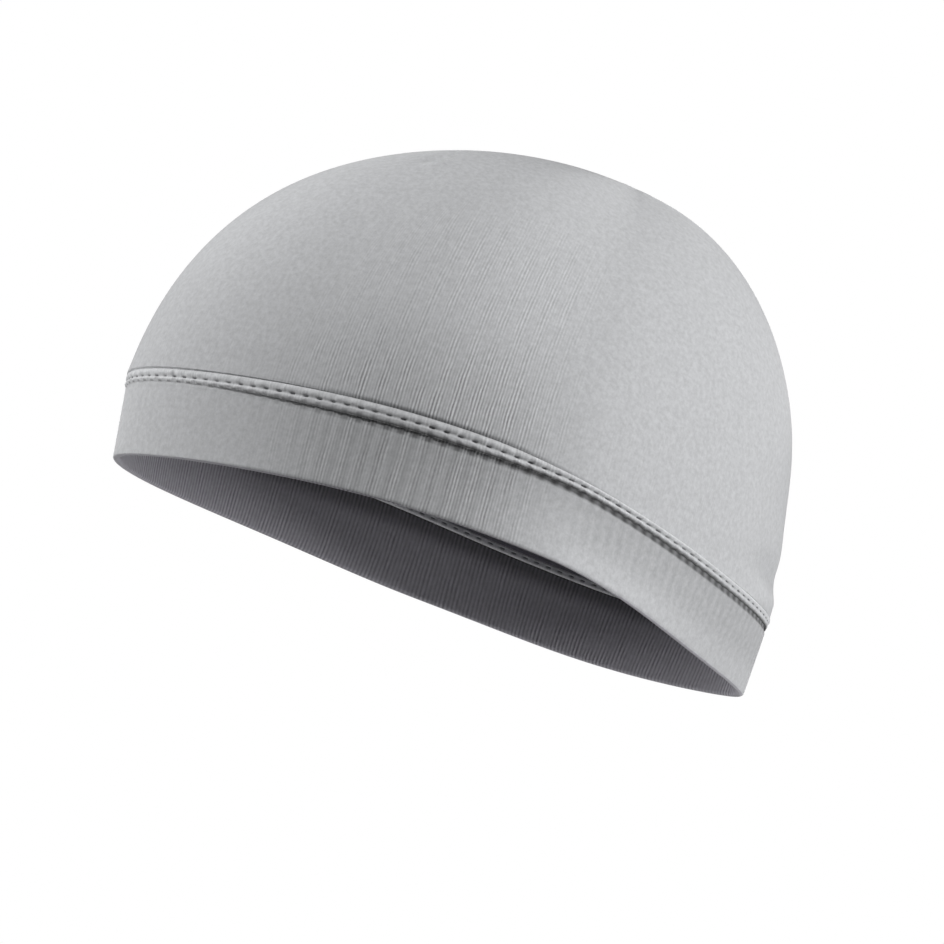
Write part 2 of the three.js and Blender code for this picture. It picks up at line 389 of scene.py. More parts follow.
def cloth_grid(name, points, maps, values):
    """A grid primitive moved to points[column, row], with UV maps and values given the same way.

    Columns run round the head, and the first and last are the same line, which is merged."""
    columns, rows = points.shape[0] - 1, points.shape[1] - 1
    bpy.ops.object.select_all(action="DESELECT")
    bpy.ops.mesh.primitive_grid_add(x_subdivisions=columns, y_subdivisions=rows, size=1)
    piece = bpy.context.object
    piece.name = piece.data.name = name
    mesh = piece.data
    if len(mesh.vertices) != (columns + 1) * (rows + 1):
        raise RuntimeError(f"{name}: the grid has {len(mesh.vertices)} corners")
    flat = np.zeros(len(mesh.vertices) * 3)
    mesh.vertices.foreach_get("co", flat)
    flat = flat.reshape(-1, 3) + 0.5
    column = np.rint(flat[:, 0] * columns).astype(int)
    row = np.rint(flat[:, 1] * rows).astype(int)
    mesh.vertices.foreach_set("co", points[column, row].ravel())
    corner = np.zeros(len(mesh.loops), int)
    mesh.loops.foreach_get("vertex_index", corner)
    while mesh.uv_layers:
        mesh.uv_layers.remove(mesh.uv_layers[0])
    for map_name, place in maps.items():
        layer = mesh.uv_layers.new(name=map_name)
        layer.data.foreach_set("uv", place[column, row][corner].ravel())
    for value_name, value in values.items():
        layer = mesh.attributes.new(value_name, "FLOAT", "POINT")
        layer.data.foreach_set("value", value[column, row].astype(np.float32))
    bpy.ops.object.mode_set(mode="EDIT")
    bpy.ops.mesh.select_all(action="SELECT")
    bpy.ops.mesh.remove_doubles(threshold=MERGE_DISTANCE)
    bpy.ops.mesh.normals_make_consistent(inside=False)
    bpy.ops.object.mode_set(mode="OBJECT")
    bpy.ops.object.shade_smooth()
    return piece


def turn_over():
    """Turns all faces of the piece at hand over."""
    bpy.ops.object.mode_set(mode="EDIT")
    bpy.ops.mesh.select_all(action="SELECT")
    bpy.ops.mesh.flip_normals()
    bpy.ops.object.mode_set(mode="OBJECT")


def face_out(piece, reference):
    """Turns the faces over if most of them look towards the reference point."""
    mesh = piece.data
    centre, normal = np.zeros(len(mesh.polygons) * 3), np.zeros(len(mesh.polygons) * 3)
    mesh.polygons.foreach_get("center", centre)
    mesh.polygons.foreach_get("normal", normal)
    away = (centre.reshape(-1, 3) - np.array(reference)) * normal.reshape(-1, 3)
    if away.sum() < 0:
        turn_over()


def thicken(piece, cloth, inside_material=0):
    """Gives a face of cloth its thickness, measured in from the face."""
    solid = piece.modifiers.new("cloth", "SOLIDIFY")
    solid.thickness = cloth
    solid.offset = -1
    solid.use_even_offset = True
    solid.material_offset = inside_material
    bpy.ops.object.modifier_apply(modifier=solid.name)


# Materials


def add_node(tree, kind, settings, links=()):
    """Adds a node, sets its properties or sockets by name, and links sockets to its inputs."""
    node = tree.nodes.new(kind)
    for name, value in settings.items():
        if isinstance(name, str) and hasattr(node, name):
            setattr(node, name, value)
        else:
            node.inputs[name].default_value = value
    for name, source in dict(links).items():
        tree.links.new(source, node.inputs[name])
    return node


def new_material(name):
    """An empty material and its node tree."""
    material = bpy.data.materials.new(name)
    material.use_nodes = True
    material.node_tree.nodes.clear()
    return material, material.node_tree


def jersey(cap, name, colour, shade, relief, coarser=1.0, second=0.6, stitch_pitch=0.0):
    """Fine polyester and elastane jersey, circular-knitted and left matt: thin upright wales that
    catch a raking light, in two spacings that go in and out of step, over a slight grain. The wales
    are drawn as relief and as stripes in the colour: partly the knit's own pattern, partly painted
    shade of the raking light.

    Shade and relief say how dark and deep the wales are, and second how strong the second spacing
    is. The colour is made darker by the piece's painted shade, and where the pitch of a row of
    stitches is given, that painted shade in the groove beside it is darkest at each."""
    material, tree = new_material(name)
    place = add_node(tree, "ShaderNodeTexCoord", {})
    line = add_node(tree, "ShaderNodeUVMap", {"uv_map": "wales"})
    # Yarn tension drifts, so the wales wander a little and fade, in patches 3.3 mm by 7.7 mm
    patches = add_node(
        tree, "ShaderNodeMapping", {"Scale": (300.0, 130.0, 1.0)}, {"Vector": line.outputs[0]}
    )
    drift = add_node(
        tree,
        "ShaderNodeTexNoise",
        {"Scale": 1.0, "Detail": 1.0, "Roughness": 0.5},
        {"Vector": patches.outputs[0]},
    )
    split = add_node(tree, "ShaderNodeSeparateXYZ", {}, {0: line.outputs[0]})
    wander = add_node(
        tree,
        "ShaderNodeMath",
        {"operation": "MULTIPLY_ADD", 1: WALE_WANDER},
        {0: drift.outputs[0], 2: split.outputs[0]},
    )
    waves = []
    for spacing in (cap.wale_spacing, cap.second_spacing):
        turns = add_node(
            tree,
            "ShaderNodeMath",
            {"operation": "MULTIPLY", 1: 2 * math.pi / (spacing * coarser)},
            {0: wander.outputs[0]},
        )
        waves.append(
            add_node(tree, "ShaderNodeMath", {"operation": "SINE"}, {0: turns.outputs[0]})
        )
    both = add_node(
        tree,
        "ShaderNodeMath",
        {"operation": "MULTIPLY_ADD", 1: second},
        {0: waves[1].outputs[0], 2: waves[0].outputs[0]},
    )
    patchy = add_node(
        tree,
        "ShaderNodeMapRange",
        {"From Min": 0.35, "From Max": 0.65, "To Min": 0.5, "To Max": 1.2},
        {"Value": drift.outputs[0]},
    )
    shown = add_node(tree, "ShaderNodeAttribute", {"attribute_name": "wale_show"})
    strength = add_node(
        tree,
        "ShaderNodeMath",
        {"operation": "MULTIPLY"},
        {0: patchy.outputs[0], 1: shown.outputs["Fac"]},
    )
    wales = add_node(
        tree,
        "ShaderNodeMath",
        {"operation": "MULTIPLY"},
        {0: both.outputs[0], 1: strength.outputs[0]},
    )
    # Loops of the knit are 0.3 mm across, too fine to show: drawn as a faint, coarser grain
    grain = add_node(
        tree,
        "ShaderNodeTexNoise",
        {"Scale": 1 / GRAIN, "Detail": 2.0, "Roughness": 0.7},
        {"Vector": place.outputs["Object"]},
    )
    height = add_node(
        tree,
        "ShaderNodeMath",
        {"operation": "MULTIPLY_ADD", 1: 0.9},
        {0: grain.outputs[0], 2: wales.outputs[0]},
    )
    bump = add_node(
        tree,
        "ShaderNodeBump",
        {"Strength": 1.0, "Distance": relief},
        {"Height": height.outputs[0]},
    )
    # Stripes in the colour along the wales: partly the knit's own pattern, partly painted shade of the
    # raking light, strongest where wale_show is high
    wale_tone = add_node(
        tree,
        "ShaderNodeMath",
        {"operation": "MULTIPLY_ADD", 1: shade, 2: 1.0},
        {0: wales.outputs[0]},
    )
    grain_tone = add_node(
        tree,
        "ShaderNodeMapRange",
        {"From Min": 0.3, "From Max": 0.7, "To Min": 0.9, "To Max": 1.1},
        {"Value": grain.outputs[0]},
    )
    tones = add_node(
        tree,
        "ShaderNodeMath",
        {"operation": "MULTIPLY"},
        {0: wale_tone.outputs[0], 1: grain_tone.outputs[0]},
    )
    # Painted shade: the colour is made darker where the piece's value for it is high
    painted_shade = add_node(tree, "ShaderNodeAttribute", {"attribute_name": "painted_shade"}).outputs["Fac"]
    # Along a row of stitches the painted shade is strongest at each stitch
    if stitch_pitch:
        turns = add_node(
            tree,
            "ShaderNodeMath",
            {"operation": "MULTIPLY", 1: 2 * math.pi / stitch_pitch},
            {0: split.outputs[0]},
        )
        beat = add_node(tree, "ShaderNodeMath", {"operation": "COSINE"}, {0: turns.outputs[0]})
        share = add_node(
            tree,
            "ShaderNodeMath",
            {"operation": "MULTIPLY_ADD", 1: 0.2, 2: 0.8},
            {0: beat.outputs[0]},
        )
        painted_shade = add_node(
            tree, "ShaderNodeMath", {"operation": "MULTIPLY"}, {0: painted_shade, 1: share.outputs[0]}
        ).outputs[0]
    # Colour factor of the painted shade
    deep = add_node(
        tree, "ShaderNodeMath", {"operation": "MULTIPLY_ADD", 1: -PAINTED_SHADE_STRENGTH, 2: 1.0}, {0: painted_shade}
    )
    all_tones = add_node(
        tree,
        "ShaderNodeMath",
        {"operation": "MULTIPLY"},
        {0: tones.outputs[0], 1: deep.outputs[0]},
    )
    shade_colour = add_node(
        tree,
        "ShaderNodeVectorMath",
        {"operation": "SCALE", 0: colour},
        {"Scale": all_tones.outputs[0]},
    )
    cloth = add_node(
        tree,
        "ShaderNodeBsdfPrincipled",
        {
            "Roughness": 0.86,
            "IOR": 1.5,
            "Specular IOR Level": 0.2,
            "Sheen Weight": 0.25,
            "Sheen Roughness": 0.45,
        },
        {"Base Color": shade_colour.outputs[0], "Normal": bump.outputs[0]},
    )
    add_node(tree, "ShaderNodeOutputMaterial", {}, {"Surface": cloth.outputs[0]})
    return material


def sewing_thread(cap):
    """Textured polyester sewing thread, two plies twisted together: a soft rope with slight gloss."""
    material, tree = new_material("textured polyester sewing thread, twisted")
    place = add_node(tree, "ShaderNodeTexCoord", {})
    # The plies turn once in 0.9 mm, drawn at that size
    plies = add_node(
        tree,
        "ShaderNodeTexWave",
        {"bands_direction": "DIAGONAL", "Scale": 1 / (0.9 * MM) / 3, "Distortion": 1.0},
        {"Vector": place.outputs["Object"]},
    )
    bump = add_node(
        tree,
        "ShaderNodeBump",
        {"Strength": 0.6, "Distance": 0.05 * MM},
        {"Height": plies.outputs["Fac"]},
    )
    tone = add_node(
        tree,
        "ShaderNodeMapRange",
        {"To Min": 0.8, "To Max": 1.05},
        {"Value": plies.outputs["Fac"]},
    )
    # The thread's dark colour is painted shade of the stitch holes
    colour = add_node(
        tree,
        "ShaderNodeVectorMath",
        {"operation": "SCALE", 0: cap.thread_colour_shaded[:]},
        {"Scale": tone.outputs[0]},
    )
    thread = add_node(
        tree,
        "ShaderNodeBsdfPrincipled",
        {"Roughness": 0.6, "IOR": 1.5, "Specular IOR Level": 0.3},
        {"Base Color": colour.outputs[0], "Normal": bump.outputs[0]},
    )
    add_node(tree, "ShaderNodeOutputMaterial", {}, {"Surface": thread.outputs[0]})
    return material


def studio_paper():
    """Matt white background paper: the camera sees it evenly pale, as if lit from above, and the
    cap gets only the lamps' light back from it."""
    material, tree = new_material("matt white background paper")
    place = add_node(tree, "ShaderNodeTexCoord", {})
    pulp = add_node(
        tree, "ShaderNodeTexNoise", {"Scale": 3.0, "Detail": 2.0}, {"Vector": place.outputs["Object"]}
    )
    tone = add_node(
        tree,
        "ShaderNodeMapRange",
        {"To Min": 0.84, "To Max": 0.88},
        {"Value": pulp.outputs[0]},
    )
    paper = add_node(
        tree, "ShaderNodeBsdfPrincipled", {"Roughness": 0.95}, {"Base Color": tone.outputs[0]}
    )
    lit = add_node(tree, "ShaderNodeEmission", {"Strength": 1.0}, {"Color": tone.outputs[0]})
    ray = add_node(tree, "ShaderNodeLightPath", {})
    seen = add_node(
        tree,
        "ShaderNodeMixShader",
        {},
        {0: ray.outputs["Is Camera Ray"], 1: paper.outputs[0], 2: lit.outputs[0]},
    )
    add_node(tree, "ShaderNodeOutputMaterial", {}, {"Surface": seen.outputs[0]})
    return material


# Settings


class SkullCapSettings(bpy.types.PropertyGroup):
    """Sizes and colours of the cap."""

    length: FloatProperty(
        name="Length",
        description="Inside the stitch row, forehead to nape",
        default=199 * MM,
        unit="LENGTH",
    )
    width: FloatProperty(
        name="Width",
        description="Across the stitch row at the widest place",
        default=152 * MM,
        unit="LENGTH",
    )
    top_height: FloatProperty(
        name="Top",
        description="Height of the top above the middle of the rim opening",
        default=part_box("crown")[1].z,
        unit="LENGTH",
    )
    band_height: FloatProperty(
        name="Band",
        description="Height of the band, stitch row to rim",
        default=22 * MM,
        unit="LENGTH",
    )
    crown_cloth: FloatProperty(
        name="Crown cloth",
        description="Thickness of the crown's jersey",
        default=1 * MM,
        unit="LENGTH",
    )
    band_cloth: FloatProperty(
        name="Band cloth",
        description="Thickness of each of the band's two layers",
        default=0.7 * MM,
        unit="LENGTH",
    )
    stitches: IntProperty(
        name="Stitches", description="Stitches in a row, all the way round", default=136
    )
    wale_spacing: FloatProperty(
        name="Wales",
        description="Spacing of the knit's upright lines, drawn about twice as coarse as they are",
        default=0.89 * MM,
        unit="LENGTH",
    )
    second_spacing: FloatProperty(
        name="Second wales",
        description="Spacing of the lines that drift in and out of step with the first",
        default=1.08 * MM,
        unit="LENGTH",
    )
    cloth_colour: FloatVectorProperty(
        name="Cloth", description="Colour of the jersey", subtype="COLOR", default=linear("bcbdbf")
    )
    # The back's darker colour is painted shade of the cap's inside
    shaded_back_colour: FloatVectorProperty(
        name="Cloth inside",
        description="Colour of the jersey's back",
        subtype="COLOR",
        default=linear("9f9da4"),
    )
    # Lighter than the cloth: a painted highlight on the seam's ridges
    seam_colour_with_highlight: FloatVectorProperty(
        name="Seam",
        description="Colour of the jersey where it is stretched over the seam",
        subtype="COLOR",
        default=linear("d0d1d3"),
    )
    # Much darker than the cloth: painted shade of the stitch holes
    thread_colour_shaded: FloatVectorProperty(
        name="Thread",
        description="Colour of the sewing thread",
        subtype="COLOR",
        default=linear("6f7073"),
    )


class SkullCapStage(bpy.types.PropertyGroup):
    """Camera, lights and floor."""

    azimuth: FloatProperty(
        name="Azimuth",
        description="Camera's turn round the cap from the forehead",
        default=math.radians(76.42),
        subtype="ANGLE",
    )
    elevation: FloatProperty(
        name="Elevation",
        description="Camera's height angle, below the cap where negative",
        default=math.radians(-9.45),
        subtype="ANGLE",
    )
    roll: FloatProperty(
        name="Roll", description="Camera's roll", default=math.radians(16.2), subtype="ANGLE"
    )
    distance: FloatProperty(
        name="Distance",
        description="Camera to the middle of the view",
        default=1.0744,
        unit="LENGTH",
    )
    lens: FloatProperty(
        name="Lens", description="Focal length in millimetres", default=144.98, subtype="NONE"
    )
    target: FloatVectorProperty(
        name="Target",
        description="Point in the middle of the view",
        default=(12.3 * MM, -0.95 * MM, 30.73 * MM),
        subtype="TRANSLATION",
    )
    floor_height: FloatProperty(
        name="Floor", description="Height of the studio floor", default=-1.2, unit="LENGTH"
    )


# Pieces


class CAP_OT_crown(bpy.types.Operator):
    """Make the knitted crown"""

    bl_idname = "cap.crown"
    bl_label = "Crown"

    def execute(self, context):
        cap = context.scene.skull_cap
        angle = ring(cap, STEPS_AROUND)[0][:, None]
        full = cap.top_height - seam_height(angle)
        narrow = seam_share(angle, 1.0)
        hem = np.array(CROWN_HEM_ROWS) * MM * narrow / full
        fullness = around("fullness", angle)
        first = np.arcsin(hem[:, -1:] ** (fullness / 2))
        turn = first + (np.pi / 2 - first) * np.linspace(0, 1, CROWN_ROWS + 1)[1:]
        rise = np.concatenate([hem, np.sin(turn) ** (2 / fullness)], 1)
        rise[:, -1] = 1
        angle = np.repeat(angle, rise.shape[1], 1)
        height = rise * full / narrow
        point = dome(cap, angle, rise)
        at_side = groove_share(angle)
        groove = smooth(height, *CROWN_GROOVE)
        grooved = fold_depth(point) * groove - TUCK_OUT * (1 - groove)
        edge = smooth(height, *CROWN_SWELL)
        out = SWELL_OUT * (1 - smooth(height, CROWN_SWELL[1], SWELL_HEIGHT)) * edge
        swollen = fold_depth(point) * groove - TUCK_OUT * (1 - edge) - out
        depth = grooved * at_side + swollen * (1 - at_side)
        maps = {"wales": wale_places(cap, angle, point)}
        # Painted shade: the colour is made darker in the groove just above the seam on the sides, and
        # low up the crown's sides
        values = {
            "wale_show": wale_shares(angle, rise),
            "painted_shade": CROWN_FOOT_SHADE * (1 - smooth(height, 2.5 * MM, 3.5 * MM)) * at_side
            + CROWN_SIDE_SHADE * side_share(angle) * (1 - smooth(rise, 0.1, 0.4)),
        }
        point = point - dome_normal(cap, angle, rise) * depth[..., None]
        crown = cloth_grid("crown_cloth", point, maps, values)
        face_out(crown, (0, WIDEST_Y, 40 * MM))
        crown.data.materials.append(
            jersey(cap, "circular-knitted jersey, face", cap.cloth_colour[:], 0.25, 0.04 * MM)
        )
        # The back's darker colour is painted shade of the cap's inside
        crown.data.materials.append(
            jersey(cap, "circular-knitted jersey, back", cap.shaded_back_colour[:], 0.12, 0.05 * MM, 1.35)
        )
        thicken(crown, cap.crown_cloth, inside_material=1)
        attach(crown, "root")
        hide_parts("crown")
        return {"FINISHED"}


def groove_share(angle):
    """1 where a groove runs above the seam, on the sides, and 0 towards forehead and nape."""
    towards_front = np.cos(angle)
    return (1 - smooth(towards_front, 0.55, 0.93)) * smooth(towards_front, -0.35, 0.45)


def wale_places(cap, angle, point):
    """Distance across the wales and along them. The wales stand upright on the sides, lean back as
    they rise, and go over the top from ear to ear; towards the two ends they stand upright again."""
    table = np.linspace(0, np.pi, OUTLINE_SAMPLES // 2 + 1)
    line = outline(cap, table)
    run = np.concatenate([[0], np.cumsum(np.linalg.norm(np.diff(line, axis=0), axis=1))])
    up = np.maximum(0, point[..., 2] - seam_height(angle))
    lean = WALE_LEAN * up**2 / (2 * WALE_LEAN_HEIGHT)
    from_foot = np.interp(point[..., 1] - lean, line[:, 1], run)
    upright = np.interp(np.minimum(angle, 2 * np.pi - angle), table, run)
    ends = smooth(np.abs(np.cos(angle)), 0.7, 0.95)
    across = from_foot * (1 - ends) + upright * ends
    return np.stack([across, point[..., 2]], -1)


def wale_shares(angle, rise):
    """How plainly the wales show: best on the sides, faint at the ends and near the top. Their
    stripes in the colour are partly painted shade of a raking light.
    """
    return side_share(angle) * (1 - 0.65 * smooth(rise, 0.06, 0.35)) * (1 - smooth(rise, 0.5, 0.8))


def side_share(angle):
    """1 on the sides, where a raking light shows the wales, and close to 0 at forehead and nape. It
    also sets where painted shade is laid up the crown's sides, on the band's sides and on the seam.
    """
    side = side_degrees(angle)
    return 0.06 + 0.94 * smooth(side, 28, 52) * (1 - smooth(side, 70, 93))


class CAP_OT_band(bpy.types.Operator):
    """Make the folded band round the opening"""

    bl_idname = "cap.band"
    bl_label = "Band"

    def execute(self, context):
        cap = context.scene.skull_cap
        angle, length = ring(cap, STEPS_AROUND)
        rim, fold = -cap.band_height, RIM_FOLD
        turn = np.linspace(0, np.pi, FOLD_ROWS)[1:-1]
        outside = np.linspace(BAND_FACE_TOP, rim + fold, BAND_ROWS)
        path = [(o * MM, h * MM) for o, h in BAND_TOP]
        path += [(0, h) for h in outside]
        path += [(fold * (np.cos(t) - 1), rim + fold * (1 - np.sin(t))) for t in turn]
        path += [(-2 * fold, h) for h in outside[::-1]]
        path += [(-2 * fold, h * MM) for h in BAND_INNER_TOP]
        out, height = np.array(path).T
        count = len(path)
        angle = np.repeat(angle[:, None], count, 1)
        out = np.repeat(out[None], len(angle), 0)
        height = np.repeat(height[None], len(angle), 0)
        at_forehead = 1 - smooth(side_degrees(angle), 12, 36)
        lifted = FOREHEAD_LIFT * at_forehead * smooth(out, -1.2 * MM, -0.5 * MM)
        out = np.minimum(out + lifted, np.maximum(out, 0))
        narrow = seam_share(angle, -1.0)
        narrow += (1 - narrow) * smooth(-height, 3.4 * MM, 12 * MM)
        point = wall(cap, angle, out, height * narrow)
        along = np.linspace(0, length, len(angle))[:, None]
        ease = np.minimum(along, length - along)
        maps = {"wales": np.stack([np.repeat(ease, count, 1), point[..., 2]], -1)}
        outer = smooth(out, -1.6 * MM, -1.2 * MM)
        side = side_share(angle) * outer
        # Painted shade: the band's face is made darker on the sides, where the wales show, for the
        # shade that the lamps leave there
        side_painted_shade = BAND_SIDE_PAINTED_SHADE * side
        # Painted shade in the groove under the seam, at the top of the band's face
        groove = smooth(height, -3.6 * MM, -2.6 * MM) * outer * painted_groove_shade(angle)
        # Painted shade on the band's inner layer, below the seam
        inner_painted_shade = INNER_BAND_SHADE * smooth(height, -8 * MM, -2.5 * MM) * (1 - outer)
        # Painted shade behind the ears, on the upper part of the band's face
        behind = BEHIND_EAR_SHADE * smooth(side_degrees(angle), 86, 104)
        behind *= smooth(height, -19 * MM, -10 * MM)
        values = {
            "wale_show": side + 0.9 * (1 - outer),
            "painted_shade": np.maximum(groove, side_painted_shade + behind * outer) + inner_painted_shade,
        }
        band = cloth_grid("band_cloth", point, maps, values)
        band.data.materials.append(
            jersey(
                cap,
                "circular-knitted jersey band, face",
                cap.cloth_colour[:],
                0.16,
                0.03 * MM,
                stitch_pitch=length / cap.stitches,
            )
        )
        # The turned-in layer's darker colour is painted shade of the cap's inside
        band.data.materials.append(
            jersey(
                cap,
                "circular-knitted jersey band, turned in",
                cap.shaded_back_colour[:],
                0.32,
                0.04 * MM,
                coarser=1.45,
                second=0.15,
            )
        )
        turn_in(band, cap)
        thicken(band, cap.band_cloth)
        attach(band, "root")
        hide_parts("band")
        return {"FINISHED"}


def painted_groove_shade(angle):
    """How strongly shade is painted into the groove under the seam: faint at the forehead, strong
    from the temples back.
    """
    return 0.1 + 0.9 * smooth(side_degrees(angle), 10, 62)


def turn_in(band, cap):
    """Gives the layer that faces the head its own material, and faces the strip outwards. Faces of
    the fold that look down get that darker material too, as painted shade under the rim.
    """
    mesh = band.data
    outer = wall(cap, np.array([np.pi / 2]), np.array([0.0]), np.array([-11 * MM]))[0]
    nearest = min(mesh.polygons, key=lambda f: (f.center - Vector(outer)).length)
    if nearest.normal.x < 0:
        turn_over()
    for face in mesh.polygons:
        level = Vector((face.center.x, face.center.y - WIDEST_Y, 0))
        # Faces that look down get the darker inside material: painted shade under the rim
        if level.normalized().dot(face.normal) < -0.3 or face.normal.z < -0.75:
            face.material_index = 1


class CAP_OT_welt(bpy.types.Operator):
    """Make the raised seam between crown and band"""

    bl_idname = "cap.welt"
    bl_label = "Seam"

    def execute(self, context):
        cap = context.scene.skull_cap
        steps = cap.stitches * WELT_STEPS_PER_STITCH
        angle, length = ring(cap, steps)
        phase = np.arange(steps + 1) / WELT_STEPS_PER_STITCH
        uneven = np.random.default_rng(PULL_SEED).uniform(*PULL, cap.stitches)
        nearest = np.rint(phase).astype(int) % cap.stitches
        pulse = smooth(np.cos(2 * np.pi * phase), -0.1, 0.8) * uneven[nearest]
        inner_pulse = smooth(-np.cos(2 * np.pi * phase), -0.1, 0.7)
        # The cloth puckers unevenly along the stitches, above them and below them
        count = PUCKERS_PER_STITCH * cap.stitches
        knots = np.random.default_rng(PUCKER_SEED).uniform(-PUCKER, PUCKER, (2, count))
        knots[:, -1] = knots[:, 0]
        spots = np.linspace(0, cap.stitches, count)
        above, below = (np.interp(phase, spots, knot) for knot in knots)
        inner_out = TUCK_OUT - cap.crown_cloth - SLOT_GAP
        band_out = TUCK_OUT - TUCKED_BAND - SLOT_GAP
        flat = [(-0.2 * MM, -WEB_HALF_HEIGHT), (band_out, -WEB_HALF_HEIGHT)]
        back = [(inner_out, WEB_HALF_HEIGHT), (-0.2 * MM, WEB_HALF_HEIGHT)]
        out, height, welt_painted_shade = [], [], []
        outside = [(h * MM, a * MM, b * MM, "out") for h, a, b in WELT_OUTSIDE]
        # The section once round: outside, under the web, inside, over the web, and to its start
        sections = (
            outside
            + [(h, o, o, "flat") for o, h in flat]
            + [(h * MM, a * MM, b * MM, "in") for h, a, b in WELT_INSIDE]
            + [(h, o, o, "flat") for o, h in back]
            + outside[:1]
        )
        for h, between, at_stitch, side in sections:
            share = inner_pulse if side == "in" else pulse
            out.append(between + (at_stitch - between) * share)
            height.append(np.full(steps + 1, h))
            if side == "out":
                # Painted shade in the stitch row, at the lower edge, on the lower ridge over the
                # temples and at the upper edge
                stitch_row_painted_shade = np.exp(-(((h - 0.06 * MM) / (0.3 * MM)) ** 2)) * (0.35 + 0.65 * share)
                under = np.maximum(painted_groove_shade(angle), 0.7 * inner_pulse)
                under = under * smooth(-h, 0.8 * MM, 1.6 * MM)
                temple = side_share(angle) * (1 - smooth(side_degrees(angle), 58, 80))
                lower = 0.42 * smooth(-h, 0.3 * MM, 0.6 * MM) * temple
                edge = 0.45 * smooth(h, 1.4 * MM, 2.3 * MM) * (0.25 + 0.75 * side_share(angle))
                welt_painted_shade.append(np.maximum(stitch_row_painted_shade, np.maximum(under, lower + edge)))
                ridge = smooth(abs(h), 0.3 * MM, 0.8 * MM) * (1 - smooth(abs(h), 1.5 * MM, 2 * MM))
                out[-1] = out[-1] + (above if h > 0 else below) * ridge
            elif side == "in":
                # Painted shade at each stitch of the inner row
                welt_painted_shade.append(np.exp(-(((h - 0.2 * MM) / (0.28 * MM)) ** 2)) * share)
            else:
                # Full painted shade on the web, which lies hidden inside
                welt_painted_shade.append(np.ones(steps + 1))
        out, height, welt_painted_shade = (np.array(v).T for v in (out, height, welt_painted_shade))
        angle = np.repeat(angle[:, None], out.shape[1], 1)
        flatter = smooth(np.cos(angle), 0.6, 1) * WELT_END_DROP["front"]
        flatter += smooth(-np.cos(angle), 0.6, 1) * WELT_END_DROP["back"]
        out = out - flatter * smooth(out, -0.2 * MM, 0.8 * MM)
        point = wall(cap, angle, out, height * seam_share(angle, height))
        along = np.linspace(0, length, len(angle))[:, None]
        maps = {"wales": np.stack([np.repeat(along, out.shape[1], 1), point[..., 2]], -1)}
        # Painted shade values of the seam, at most 1
        values = {"wale_show": np.full(out.shape, 0.3), "painted_shade": np.minimum(welt_painted_shade, 1)}
        welt = cloth_grid("seam_welt", point, maps, values)
        face_out_ring(welt)
        # The seam's lighter colour is a painted highlight on its ridges
        welt.data.materials.append(
            jersey(cap, "jersey seam, rolled and topstitched", cap.seam_colour_with_highlight[:], 0.12, 0.04 * MM)
        )
        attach(welt, "root")
        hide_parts("joining_seam")
        return {"FINISHED"}


def face_out_ring(piece):
    """Turns a closed ring's faces outwards, judged where it stands furthest to the wearer's left."""
    furthest = max(piece.data.polygons, key=lambda f: f.center.x)
    if furthest.normal.x < 0:
        turn_over()


class CAP_OT_stitches(bpy.types.Operator):
    """Make one stitch and copy it along the rows of the seam"""

    bl_idname = "cap.stitches"
    bl_label = "Stitches"

    def execute(self, context):
        cap = context.scene.skull_cap
        half = ring(cap, 1)[1] / cap.stitches * STITCH_SHARE / 2
        bpy.ops.object.select_all(action="DESELECT")
        bpy.ops.mesh.primitive_uv_sphere_add(segments=8, ring_count=6, radius=1)
        stitch = bpy.context.object
        bpy.ops.object.mode_set(mode="EDIT")
        bpy.ops.mesh.select_all(action="SELECT")
        bpy.ops.transform.rotate(
            value=math.pi / 2, orient_axis="Y", center_override=(0, 0, 0), orient_type="GLOBAL"
        )
        bpy.ops.transform.resize(value=(half, 1, 1), center_override=(0, 0, 0))
        bpy.ops.object.mode_set(mode="OBJECT")
        corners = np.zeros(len(stitch.data.vertices) * 3)
        stitch.data.vertices.foreach_get("co", corners)
        corners = corners.reshape(-1, 3)
        angle = ring(cap, cap.stitches * STITCH_STEPS)[0]
        made = []
        for height, out, thread, phase in STITCH_ROWS.values():
            facing = np.sign(out + cap.crown_cloth)
            for place in ((np.arange(cap.stitches) + phase) * STITCH_STEPS).astype(int):
                at = angle[place]
                level = np.array([height * seam_share(at, height)])
                here, there = (
                    wall(cap, np.array([at + step]), np.array([out]), level)[0]
                    for step in (-SMALL_ANGLE, SMALL_ANGLE)
                )
                along = there - here
                along /= np.linalg.norm(along)
                away = np.append(outward(cap, np.array([at]))[0], 0)
                across = np.cross(along, away)
                away = np.cross(across, along)
                # The thread dives into the cloth at both ends of the stitch
                sink = (corners[:, :1] / half) ** 2 * thread * STITCH_DIVE
                local = (
                    corners[:, :1] * along
                    + corners[:, 1:2] * across * thread
                    + (corners[:, 2:3] * thread - sink * facing) * away
                )
                copy = stitch.data.copy()
                copy.vertices.foreach_set("co", ((here + there) / 2 + local).ravel())
                piece = bpy.data.objects.new("stitch", copy)
                context.scene.collection.objects.link(piece)
                made.append(piece)
        bpy.data.objects.remove(stitch)
        bpy.ops.object.select_all(action="DESELECT")
        for piece in made:
            piece.select_set(True)
        context.view_layer.objects.active = made[0]
        bpy.ops.object.join()
        rows = context.object
        rows.name = rows.data.name = "seam_stitches"
        bpy.ops.object.mode_set(mode="EDIT")
        bpy.ops.mesh.select_all(action="SELECT")
        bpy.ops.mesh.normals_make_consistent(inside=False)
        bpy.ops.object.mode_set(mode="OBJECT")
        bpy.ops.object.shade_smooth()
        rows.data.materials.clear()
        rows.data.materials.append(sewing_thread(cap))
        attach(rows, "root")
        return {"FINISHED"}


